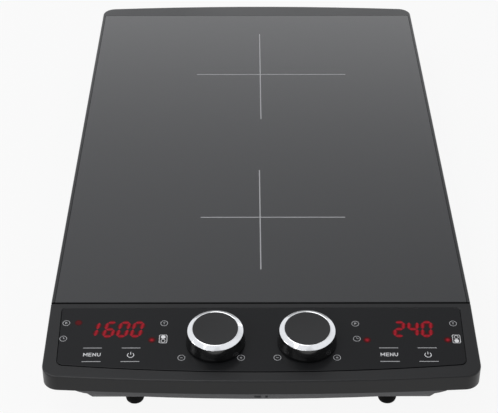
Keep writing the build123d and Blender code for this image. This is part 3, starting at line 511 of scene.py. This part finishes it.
def letter_shape(letter, left, top, width, height, weight):
    """Strokes of one capital in a wide plain style, from its left top corner."""
    half = weight / 2
    x0, x1 = left + half, left + width - half
    y0, y1 = top + half, top + height - half
    middle_x, middle_y = (x0 + x1) / 2, (y0 + y1) / 2
    top_edge, low_edge = top, top + height
    bulge = (y1 - y0) * 0.28
    right_edge = x1 + half
    strokes = {
        "M": [
            [(x0, low_edge), (x0, top_edge)], [(x1, low_edge), (x1, top_edge)],
            [(x0, y0), (middle_x, y1 - bulge)], [(x1, y0), (middle_x, y1 - bulge)],
        ],
        "E": [
            [(right_edge, y0), (x0, y0), (x0, y1), (right_edge, y1)],
            [(x0, middle_y), (x1 + half * 0.4, middle_y)],
        ],
        "N": [
            [(x0, low_edge), (x0, top_edge)], [(x0, y0), (x1, y1)],
            [(x1, low_edge), (x1, top_edge)],
        ],
        "U": [[
            (x0, top_edge), (x0, y1 - bulge), (x0 + bulge, y1),
            (x1 - bulge, y1), (x1, y1 - bulge), (x1, top_edge),
        ]],
        "P": [[
            (x0, low_edge), (x0, y0), (x1 - bulge, y0),
            (x1, y0 + bulge), (x1, middle_y), (x0, middle_y),
        ]],
        "T": [[(x0 - half, y0), (right_edge, y0)], [(middle_x, y0), (middle_x, low_edge)]],
    }
    return [stroke(corners, weight) for corners in strokes[letter]]


def word_menu(centre):
    """The word on the menu key."""
    x, y = centre
    shapes = []
    left = x - (sum(width for letter, width in WORD_LETTERS) + 3 * WORD_SPACE) / 2
    for letter, width in WORD_LETTERS:
        shapes += letter_shape(letter, left, y - WORD_HEIGHT / 2, width, WORD_HEIGHT, WORD_STROKE)
        left += width + WORD_SPACE
    return shapes


def ringed_letter(centre, letter):
    """Small capital in a ring."""
    x, y = centre
    left, top = x - SIGN_LETTER_WIDTH / 2, y - SIGN_LETTER_HEIGHT / 2
    small = letter_shape(letter, left, top, SIGN_LETTER_WIDTH, SIGN_LETTER_HEIGHT, INK_LINE)
    return [band(centre, SIGN_RADIUS, INK_LINE)] + small


def ringed_minus(centre):
    """Minus in a ring."""
    x, y = centre
    arm = bar((x - SIGN_ARM, y), (x + SIGN_ARM, y), SIGN_ARM_WIDTH)
    return [band(centre, SIGN_RADIUS, INK_LINE), arm]


def ringed_plus(centre):
    """Plus in a ring."""
    x, y = centre
    return ringed_minus(centre) + [bar((x, y - SIGN_ARM), (x, y + SIGN_ARM), SIGN_ARM_WIDTH)]


def clock_sign(centre):
    """Clock face with two hands."""
    x, y = centre
    upright = bar((x, y), (x, y - UPRIGHT_HAND), HAND_WIDTH)
    level = bar((x - HAND_OVERLAP, y), (x + LEVEL_HAND, y), HAND_WIDTH)
    return [band(centre, SIGN_RADIUS, INK_LINE), upright, level]


def power_sign(centre):
    """Open ring with an upright stroke in its gap."""
    x, y = centre
    ring = band(centre, POWER_RADIUS, POWER_STROKE, POWER_RING_FROM, POWER_RING_TO)
    return [ring, bar((x, y - POWER_BAR_TOP), (x, y - POWER_BAR_END), POWER_STROKE)]


def zone_sign(centre, lit_row):
    """Upright plate with two zones, one of them filled: row -1 is the rear one, 1 the front one."""
    x, y = centre
    shapes = [
        box_outline(centre, ZONE_PLATE_WIDTH, ZONE_PLATE_HEIGHT, INK_LINE, ZONE_PLATE_CORNER)
    ]
    for row in (-1, 1):
        middle = (x, y + row * ZONE_ROW_REACH)
        if row == lit_row:
            shapes.append(disc(middle, ZONE_DISC_RADIUS))
        else:
            shapes.append(band(middle, ZONE_RING_RADIUS, ZONE_RING_LINE))
    return shapes


def key_lines(ends, tops):
    """Thin lines over and under each touch key, from the ends of each key's lines."""
    return [bar((x0, y), (x1, y), KEY_LINE_WIDTH) for x0, x1 in ends for y in tops]


def print_on_deck(name, shapes, material, slot_name="overlay_film", lift=PRINT_LIFT):
    """One print on the overlay, made of flat shapes."""
    points, faces = join(shapes)
    return make_piece(name, on_deck(points, lift), faces, material, "root", slot_name, False)


ink_grey = printed_ink("ink_grey", (0.42, 0.42, 0.43))
ink_white = printed_ink("ink_white", (0.72, 0.72, 0.73))

# Places on the deck by the panel's side, across and down.
MENU_WORDS = {"left": (-132.2, 57.9), "right": (99.7, 58.1)}
POWER_SIGNS = {"left": (-102.0, 58.4), "right": (129.9, 58.5)}
KEY_LINE_ENDS = {
    "left": ((-139.7, -124.9), (-109.4, -94.7)),
    "right": ((92.2, 107.2), (122.5, 137.4)),
}
KEY_LINE_TOPS = {"left": (50.9, 65.2), "right": (51.1, 65.4)}
P_SIGNS = {"left": (-155.4, 23.8), "right": (75.1, 24.8)}
CLOCK_SIGNS = {"left": (-156.2, 40.8), "right": (75.4, 41.2)}
T_SIGNS = {"left": (-77.3, 24.1), "right": (153.1, 24.7)}
ZONE_SIGNS = {"left": ((-77.4, 41.2), -1), "right": ((153.9, 41.6), 1)}
PLUS_MINUS_MIDDLES = {"left": -39.1, "right": 35.6}
PLUS_MINUS_REACH = 23.2
PLUS_MINUS_DOWN = 61.3

for side in SIDES:
    print_on_deck(f"{side}_menu_word", word_menu(MENU_WORDS[side]), ink_white)
for side in SIDES:
    print_on_deck(f"{side}_power_sign", power_sign(POWER_SIGNS[side]), ink_white)
for side in SIDES:
    lines = key_lines(KEY_LINE_ENDS[side], KEY_LINE_TOPS[side])
    print_on_deck(f"{side}_key_lines", lines, ink_grey)
for side in SIDES:
    signs = ringed_letter(P_SIGNS[side], "P") + clock_sign(CLOCK_SIGNS[side])
    print_on_deck(f"{side}_signs", signs + ringed_letter(T_SIGNS[side], "T"), ink_grey)
for side in SIDES:
    print_on_deck(f"{side}_zone_sign", zone_sign(*ZONE_SIGNS[side]), ink_white)
for side in SIDES:
    minus = (PLUS_MINUS_MIDDLES[side] - PLUS_MINUS_REACH, PLUS_MINUS_DOWN)
    plus = (PLUS_MINUS_MIDDLES[side] + PLUS_MINUS_REACH, PLUS_MINUS_DOWN)
    print_on_deck(f"{side}_minus_sign", ringed_minus(minus), ink_grey)
    print_on_deck(f"{side}_plus_sign", ringed_plus(plus), ink_grey)

# ---- red digits and lights ----
DIGIT_WIDTH = 8.3
DIGIT_HEIGHT = 16.6
DIGIT_PITCH = 10.9
SEGMENT = 1.75
SEGMENT_GAP = 0.25
DIGIT_SLANTS = {"left": math.tan(math.radians(10)), "right": math.tan(math.radians(5))}
DIGIT_SHIFT = {"1": -2.3}
DIGIT_TOP = 22.5
NUMBERS = (("left", "1600", -95.6), ("right", "240", 135.0))
LIGHT_SIZE = 0.62
LIT_SEGMENTS = {"0": "abcdef", "1": "bc", "2": "abged", "4": "fgbc", "6": "afgedc"}


def segment(start, end, width):
    """One bar of a digit: a rectangle with pointed ends, half the width long."""
    start, end = np.asarray(start, float), np.asarray(end, float)
    along = (end - start) / np.linalg.norm(end - start)
    side = np.array((-along[1], along[0])) * width / 2
    a = start + along * SEGMENT_GAP
    b = end - along * SEGMENT_GAP
    inset = along * width / 2
    a_in, b_in = a + inset, b - inset
    points = np.array((a, a_in - side, b_in - side, b, b_in + side, a_in + side))
    return face_up(points, [(0, 1, 2, 3, 4, 5)])


def digit_shapes(character, left, top, width, slant):
    """The lit bars of one digit, leaning to the right with height."""
    left += DIGIT_SHIFT.get(character, 0.0)
    x0, x1 = left + SEGMENT / 2, left + DIGIT_WIDTH - SEGMENT / 2
    y0, y2 = top + SEGMENT / 2, top + DIGIT_HEIGHT - SEGMENT / 2
    y1 = (y0 + y2) / 2
    ends = {
        "a": ((x0, y0), (x1, y0)), "b": ((x1, y0), (x1, y1)), "c": ((x1, y1), (x1, y2)),
        "d": ((x0, y2), (x1, y2)), "e": ((x0, y1), (x0, y2)), "f": ((x0, y0), (x0, y1)),
        "g": ((x0, y1), (x1, y1)),
    }
    shapes = []
    for key in LIT_SEGMENTS[character]:
        points, faces = segment(*ends[key], width)
        points[:, 0] += (y2 - points[:, 1]) * slant
        shapes.append((points, faces))
    return shapes


def number_shapes(text, right, top, width, slant):
    """A number set from its right edge."""
    shapes = []
    for index, character in enumerate(reversed(text)):
        left = right - DIGIT_WIDTH - index * DIGIT_PITCH
        shapes += digit_shapes(character, left, top, width, slant)
    return shapes


# Each glow is a stack of ever narrower and brighter layers, as light spreads behind a smoked film:
# lift, width and glow of each.
red_layers = (
    (0.008, 5.0, lit("red_faint", (0.026, 0.0012, 0.0018))),
    (0.016, 3.6, lit("red_halo", (0.08, 0.002, 0.004))),
    (0.024, 2.6, lit("red_soft", (0.19, 0.004, 0.009))),
    (0.032, 1.5, lit("red_core", (0.34, 0.007, 0.019))),
)
for side, text, right in NUMBERS:
    for lift, width, glow in red_layers:
        digits = number_shapes(text, right, DIGIT_TOP, width, DIGIT_SLANTS[side])
        print_on_deck(f"{side}_number_{glow.name}", digits, glow, "display_face", lift)
for name, place, layers in (
    ("left_top_light", (-145.6, 23.4), red_layers[:2]),
    ("left_zone_light", (-86.3, 42.3), red_layers),
    ("right_clock_light", (83.4, 42.6), red_layers),
    ("right_zone_light", (147.0, 42.6), red_layers),
):
    for lift, width, glow in layers:
        spot = [disc(place, LIGHT_SIZE * width)]
        print_on_deck(f"{name}_{glow.name}", spot, glow, "light_lens", lift)

# ---- zone crosses on the glass ----
CROSS_LINE = 1.1
DOWN_LINE = 0.85 * CROSS_LINE
ink_cross = printed_ink("ink_cross", (0.36, 0.36, 0.37))


def zone_cross(name, centre, reach, bare_to):
    """Cross of thin lines on the glass; its left arm starts after the bare place at its end."""
    x, y = centre
    shapes = [
        bar((bare_to, -y), (x + reach, -y), CROSS_LINE),
        bar((x, -y - reach), (x, -y - CROSS_LINE / 2), DOWN_LINE),
        bar((x, -y + CROSS_LINE / 2), (x, -y + reach), DOWN_LINE),
    ]
    flat, faces = join(shapes)
    points = np.empty((len(flat), 3))
    points[:, 0] = flat[:, 0] * MM
    points[:, 1] = glass_front - flat[:, 1] * MM
    points[:, 2] = glass_top + PRINT_LIFT * MM
    make_piece(name, points, faces, ink_cross, "root", "glass_ceramic", False)


zone_cross("rear_zone_cross", (2.6, 371.2), 87.7, -62.5)
zone_cross("front_zone_cross", (0.4, 118.4), 75.0, -52.0)


# ---- knobs ----
SHAFT_BORE = 3.0
BORE_END_DROP = 1.0
HUB_RADIUS = 5.5
HUB_FOOT_RISE = 5.3
KNOB_WALL = 2.0
SKIRT_FOOT_BAND = 1.6
BEVEL_HEIGHT = 2.4
BEVEL_LIP = 0.5
BEVEL_LIP_DROP = 0.15
BEVEL_CAP_GAP = 0.03
BEVEL_SEAT_GAP = 0.02
CAP_GAP = 0.05
CAP_EDGE_DROP = 0.28
DISH_MARGIN = 0.9
DISH_DEPTH = 0.75
DISH_RISE = 0.5
DISH_STEPS = 12


def turned_knob_piece(side, part, profile, slot_name):
    """One turned piece of a knob, about that knob's own axis."""
    surface = turned(profile, knob_centres[side], DECK_UP)
    material = slot_materials[slot_name]
    return make_piece(f"knob_{side}_{part}", *surface, material, f"knob_{side}", slot_name)


def make_knob(side):
    """Knob of one side: turned black skirt, polished bevelled ring and cap over the CAD's ones.

    The cap's top is a dish: height = depth under the ring's top + rise * (radius / cap)^2."""
    centre = knob_centres[side]
    low, high = (value / MM for value in extent_along(f"knob_{side}_grip", DECK_UP, centre))
    ring_low, ring_high = (
        value / MM for value in extent_along(f"knob_{side}_ring", DECK_UP, centre)
    )
    base, ring, cap = (
        extent_along(f"knob_{side}_{part}", DECK_ACROSS, centre)[1] / MM
        for part in ("grip", "ring", "cap")
    )

    skirt = rounded_profile([
        (0, high - BORE_END_DROP, 0), (SHAFT_BORE, high - BORE_END_DROP, 0),
        (SHAFT_BORE, low + HUB_FOOT_RISE, 0.2), (HUB_RADIUS, low + HUB_FOOT_RISE, 0.2),
        (HUB_RADIUS, high - KNOB_WALL, 0.3), (ring - KNOB_WALL, high - KNOB_WALL, 0.4),
        (base - KNOB_WALL, low, 0.2), (base, low, 0.15), (base, low + SKIRT_FOOT_BAND, 0.2),
        (ring, high, 0.1), (cap, high, 0), (0, high, 0),
    ])
    piece = turned_knob_piece(side, "skirt", skirt, "knob_black")
    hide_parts(f"knob_{side}_grip")
    bevel_in = cap + BEVEL_CAP_GAP
    bevel_foot = ring_low + BEVEL_SEAT_GAP
    bevel = rounded_profile([
        (bevel_in, bevel_foot, 0), (ring - CAP_GAP, bevel_foot, 0.1),
        (ring, ring_high - BEVEL_HEIGHT, 0.35), (cap + BEVEL_LIP, ring_high, 0.3),
        (bevel_in, ring_high - BEVEL_LIP_DROP, 0.08), (bevel_in, bevel_foot, 0),
    ], 8)
    piece = turned_knob_piece(side, "bevel", bevel, "knob_chrome")
    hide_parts(f"knob_{side}_ring")
    dish = [
        (r, ring_high - DISH_DEPTH + DISH_RISE * (r / cap) ** 2, 0)
        for r in np.linspace(cap - DISH_MARGIN, 0, DISH_STEPS)
    ]
    top = rounded_profile([
        (0, ring_low + CAP_GAP, 0), (cap - CAP_GAP, ring_low + CAP_GAP, 0),
        (cap - CAP_GAP, ring_high - CAP_EDGE_DROP, 0.3), *dish,
    ])
    piece = turned_knob_piece(side, "top", top, "knob_cap")
    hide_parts(f"knob_{side}_cap")


for side in SIDES:
    make_knob(side)


# ---- black bead in the groove: painted shade ----
GROOVE_WIDTH = 2.2
BEAD_CLEAR = 0.05
BEAD_DEPTH = 3
BEAD_LOW = 1.6
BEAD_RISE = 1.3
BEAD_END_INSET = 1.5
BEAD_STEPS = 9


def make_groove_shade_bead():
    """Black bead across the groove, drawn up against the front edge of the glass: painted shade, a dark strip
    standing in for the shadow in the groove.

    Section: y runs over the groove with the clearance on each side, the floor lies at the bead's
    depth under the glass's top, and the top rises from its low place towards the glass as t^2."""
    t = np.linspace(0, 1, BEAD_STEPS)
    y = glass_front + (2 * BEAD_CLEAR * (0.5 - t) - GROOVE_WIDTH * (1 - t)) * MM
    z = glass_top - (BEAD_LOW - BEAD_RISE * t**2) * MM
    floor = glass_top - BEAD_DEPTH * MM
    section = np.concatenate((np.stack((y, z), 1), [(y[-1], floor), (y[0], floor)]))
    count = len(section)
    reach = cad_high[0] - BEAD_END_INSET * MM
    ends = [np.column_stack((np.full(count, x), section)) for x in (-reach, reach)]
    faces = [(i, (i + 1) % count, count + (i + 1) % count, count + i)[::-1] for i in range(count)]
    faces += [tuple(range(count)), tuple(range(2 * count - 1, count - 1, -1))]
    # The seal rubber finish only lends the strip its black; the strip is painted shade.
    material = slot_materials["seal_rubber"]
    make_piece("groove_shade_bead", np.concatenate(ends), faces, material, "root", "seal_rubber", False)


make_groove_shade_bead()

# ---- feet ----
UP = np.array((0.0, 0.0, 1.0))
FOOT_HEIGHT = 10.0
FOOT_SCREW_HOLE = 1.8
FOOT_RECESS_RADIUS = 3.5
FOOT_RECESS_DEPTH = 4.0
FOOT_SOLE_ROUNDING = 4.5


def make_feet():
    """Four turned rubber feet with rounded soles and a screw recess, over the CAD's four."""
    points = node_points("rubber_feet")
    low, high = points.min(0), points.max(0)
    one_foot = points[(points[:, 0] < 0) & (points[:, 1] < 0)]
    radius = np.ptp(one_foot[:, 0]) / 2 / MM
    foot = rounded_profile([
        (FOOT_SCREW_HOLE, FOOT_HEIGHT, 0), (FOOT_SCREW_HOLE, FOOT_RECESS_DEPTH, 0.2),
        (FOOT_RECESS_RADIUS, FOOT_RECESS_DEPTH, 0.2), (FOOT_RECESS_RADIUS, 0.0, 0.4),
        (radius, 0.0, FOOT_SOLE_ROUNDING), (radius, FOOT_HEIGHT, 0.2),
        (FOOT_SCREW_HOLE, FOOT_HEIGHT, 0),
    ])
    inset = radius * MM
    feet = [
        turned(foot, np.array((x, y, 0.0)), UP, 72)
        for x in (low[0] + inset, high[0] - inset)
        for y in (low[1] + inset, high[1] - inset)
    ]
    material = slot_materials["foot_rubber"]
    piece = make_piece("moulded_feet", *join(feet), material, "root", "foot_rubber")
    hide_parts("rubber_feet")


make_feet()


# ---- floor, world and lamps ----
FLOOR_REACH = 6
FLOOR_SEEN_SHARE = 0.95


def seen_directly(tree):
    """1 for camera, mirror and see-through rays, 0 for the rest."""
    path = tree.nodes.new("ShaderNodeLightPath")
    first = tree.nodes.new("ShaderNodeMath")
    first.operation = "MAXIMUM"
    second = tree.nodes.new("ShaderNodeMath")
    second.operation = "MAXIMUM"
    tree.links.new(path.outputs["Is Camera Ray"], first.inputs[0])
    tree.links.new(path.outputs["Is Glossy Ray"], first.inputs[1])
    tree.links.new(first.outputs[0], second.inputs[0])
    tree.links.new(path.outputs["Is Transmission Ray"], second.inputs[1])
    return second.outputs[0]


def make_floor():
    """Pale floor under the feet: mostly its own white where seen, the rest keeps the shadow."""
    corners = ((-1, -1), (1, -1), (1, 1), (-1, 1))
    points = [(x * FLOOR_REACH, y * FLOOR_REACH, 0) for x, y in corners]
    mesh = bpy.data.meshes.new("floor")
    mesh.from_pydata(points, [], [(0, 1, 2, 3)])
    floor = bpy.data.objects.new("floor", mesh)
    bpy.context.scene.collection.objects.link(floor)
    material = bpy.data.materials.new("pale_floor")
    material.use_nodes = True
    tree = material.node_tree
    tree.nodes.clear()
    output = tree.nodes.new("ShaderNodeOutputMaterial")
    mix = tree.nodes.new("ShaderNodeMixShader")
    diffuse = tree.nodes.new("ShaderNodeBsdfDiffuse")
    diffuse.inputs["Color"].default_value = (0.82, 0.82, 0.82, 1)
    glow = tree.nodes.new("ShaderNodeEmission")
    glow.inputs["Color"].default_value = (0.96, 0.96, 0.96, 1)
    share = tree.nodes.new("ShaderNodeMath")
    share.operation = "MULTIPLY"
    share.inputs[1].default_value = FLOOR_SEEN_SHARE
    tree.links.new(seen_directly(tree), share.inputs[0])
    tree.links.new(share.outputs[0], mix.inputs["Fac"])
    tree.links.new(diffuse.outputs[0], mix.inputs[1])
    tree.links.new(glow.outputs[0], mix.inputs[2])
    tree.links.new(mix.outputs[0], output.inputs["Surface"])
    mesh.materials.append(material)


# Each screen: its way, its least brightness, and the cosines where it starts and is full.
BACK_SCREEN = ((0.36, 0.48, 0.8), 0.62, 0.83, 0.985)
FRONT_SCREEN = ((0.1, -0.8, 0.592), 0.25, 0.9, 0.975)
WORLD_DIFFUSE = 0.55


def screen_light(tree, way, least, start, end):
    """1 away from a dark screen, falling to the least value over a range of cosines to its way."""
    coordinates = tree.nodes.new("ShaderNodeTexCoord")
    cosine = tree.nodes.new("ShaderNodeVectorMath")
    cosine.operation = "DOT_PRODUCT"
    cosine.inputs[1].default_value = way
    tree.links.new(coordinates.outputs["Generated"], cosine.inputs[0])
    return spread(tree, cosine.outputs["Value"], 1.0, least, start, end)


def make_world():
    """Pale surroundings: white where seen, but for dark screens high at the back and in front, and
    plain soft light elsewhere."""
    world = bpy.data.worlds.new("pale_room")
    bpy.context.scene.world = world
    world.use_nodes = True
    tree = world.node_tree
    background = tree.nodes["Background"]
    background.inputs["Color"].default_value = (0.92, 0.935, 0.97, 1)
    screen = tree.nodes.new("ShaderNodeMath")
    screen.operation = "MULTIPLY"
    tree.links.new(screen_light(tree, *BACK_SCREEN), screen.inputs[0])
    tree.links.new(screen_light(tree, *FRONT_SCREEN), screen.inputs[1])
    strength = tree.nodes.new("ShaderNodeMapRange")
    strength.inputs["To Min"].default_value = WORLD_DIFFUSE
    tree.links.new(seen_directly(tree), strength.inputs["Value"])
    tree.links.new(screen.outputs[0], strength.inputs["To Max"])
    tree.links.new(strength.outputs["Result"], background.inputs["Strength"])


def make_lamp(name, place, target, size, power):
    """Soft oblong lamp at a place, facing a target; sizes in metres, power in watts."""
    data = bpy.data.lights.new(name, "AREA")
    data.shape = "RECTANGLE"
    data.size, data.size_y = size
    data.energy = power
    lamp = bpy.data.objects.new(name, data)
    bpy.context.scene.collection.objects.link(lamp)
    lamp.location = place
    way = np.asarray(target, float) - np.asarray(place, float)
    lamp.rotation_euler = (
        math.atan2(math.hypot(way[0], way[1]), -way[2]), 0, math.atan2(-way[0], way[1])
    )


make_floor()
make_world()
make_lamp("overhead_lamp", (-0.6, -0.2, 2.2), (0, 0, 0), (1.6, 1.6), 18)
make_lamp("back_lamp", (0.25, 2.6, 1.0), (0, 0.2, 0), (3.4, 0.7), 8.5)
make_lamp("left_lamp", (-1.9, -0.4, 1.2), (0, -0.1, 0), (0.6, 0.6), 6)
make_lamp("front_left_lamp", (-0.9, -2.0, 1.1), (0, -0.2, 0), (1.7, 0.4), 8)

bpy.context.scene.view_settings.view_transform = "Standard"
